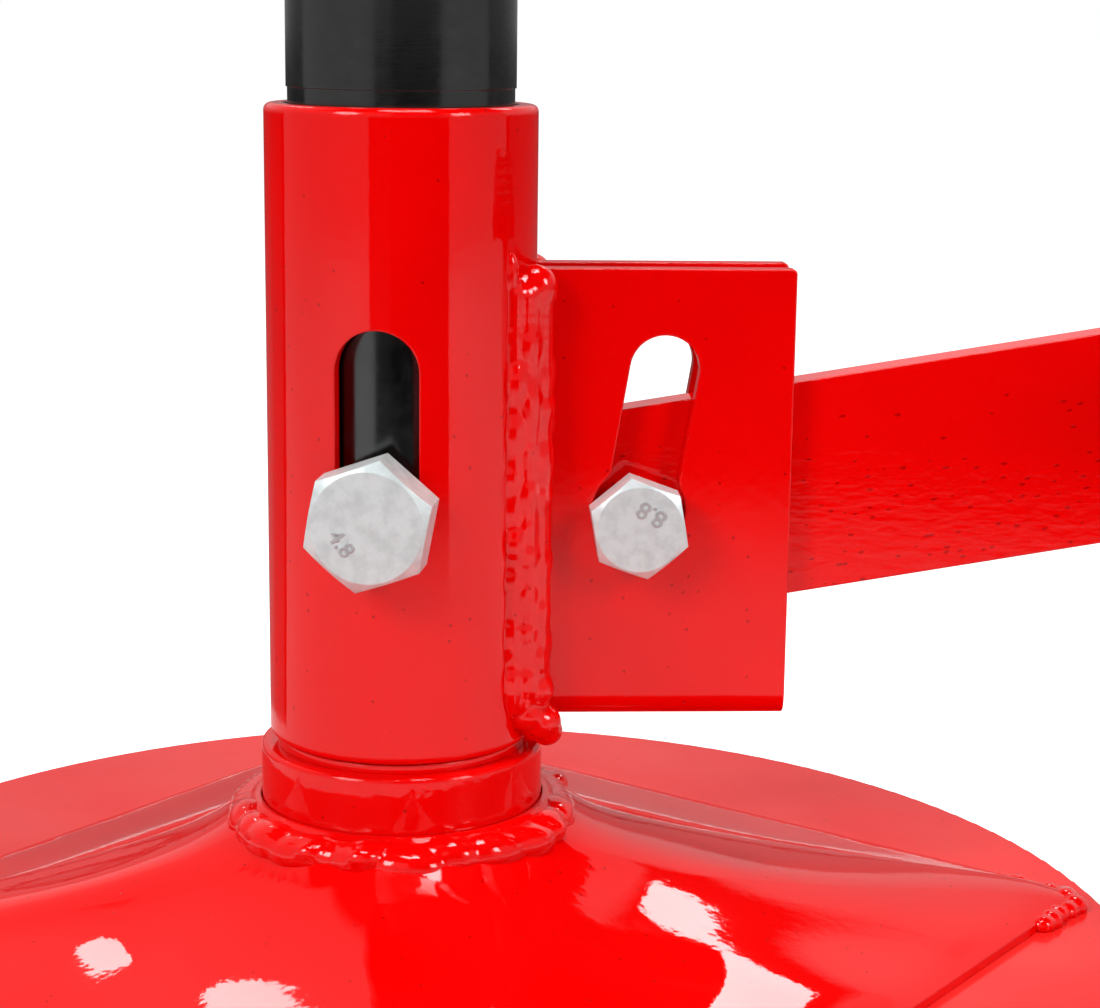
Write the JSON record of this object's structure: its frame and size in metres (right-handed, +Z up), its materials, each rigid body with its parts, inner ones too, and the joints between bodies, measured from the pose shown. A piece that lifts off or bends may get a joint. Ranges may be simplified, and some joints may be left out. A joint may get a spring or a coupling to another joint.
{
  "type": "axle stand",
  "caption": "Axle stand with a round base, a swivelling column, a pedal lever that lifts a ram, and a pinned post with an axle cradle.",
  "frame": {"origin": "on the column's axis, at the base plate's underside", "axes": "+X along the lever towards the pedal, -Y towards the pictured side, +Z up"},
  "size_m": [0.3902, 0.313, 0.4746],
  "materials": {
    "red_paint": "thick glossy red paint with orange peel",
    "disc_paint": "glossy red paint with a light haze of dust",
    "weld_paint": "glossy red paint over lumpy weld beads",
    "black_satin": "satin black coating",
    "zinc": "bright zinc plating",
    "steel": "turned bare steel",
    "rubber": "moulded black rubber"
  },
  "bodies": {
    "base": {"base_disc": "disc_paint", "base_brace": "red_paint", "brace_welds": "weld_paint", "collar": "red_paint", "collar_weld": "weld_paint", "bearing_washer": "red_paint"},
    "sleeve": {"sleeve": "red_paint", "bracket": "red_paint", "bracket_welds": "weld_paint", "pivot_bolt": "zinc", "pivot_bush": "steel", "pivot_washer": "zinc", "pivot_nut": "zinc"},
    "lever": {"lever": "red_paint", "pedal_plate": "red_paint", "pedal_welds": "weld_paint", "pedal_pad": "rubber"},
    "ram": {"ram": "black_satin", "rim_ring": "black_satin", "lift_bolt": "zinc", "lift_washer": "zinc", "lift_nut": "zinc"},
    "post": {"post": "zinc", "post_collar": "zinc", "spigot_screw": "black_satin"},
    "pin": {"locking_pin": "steel", "pull_ring": "steel"},
    "saddle": {"saddle": "red_paint", "saddle_spigot": "steel"}
  },
  "joints": [
    {"name": "sleeve_swivel", "type": "hinge", "parent": "base", "child": "sleeve", "pos_m": [0, 0, 0.052], "axis": [0, 0, 1], "continuous": true},
    {"name": "pedal_tilt", "type": "hinge", "parent": "sleeve", "child": "lever", "pos_m": [0.0499, 0, 0.0994], "axis": [0, 1, 0], "range_deg": [0, 31.6]},
    {"name": "ram_lift", "type": "slide", "parent": "sleeve", "child": "ram", "axis": [0, 0, 1], "range_m": [0, 0.0295]},
    {"name": "post_slide", "type": "slide", "parent": "ram", "child": "post", "axis": [0, 0, 1], "range_m": [0, 0.125]},
    {"name": "pin_pull", "type": "slide", "parent": "post", "child": "pin", "axis": [0, -1, 0], "range_m": [0, 0.055]},
    {"name": "saddle_swivel", "type": "hinge", "parent": "post", "child": "saddle", "pos_m": [0, 0, 0.4336], "axis": [0, 0, 1], "continuous": true}
  ],
  "couplings": [
    {"joint": "ram_lift", "follows": "pedal_tilt", "m_per_rad": 0.05348}
  ]
}
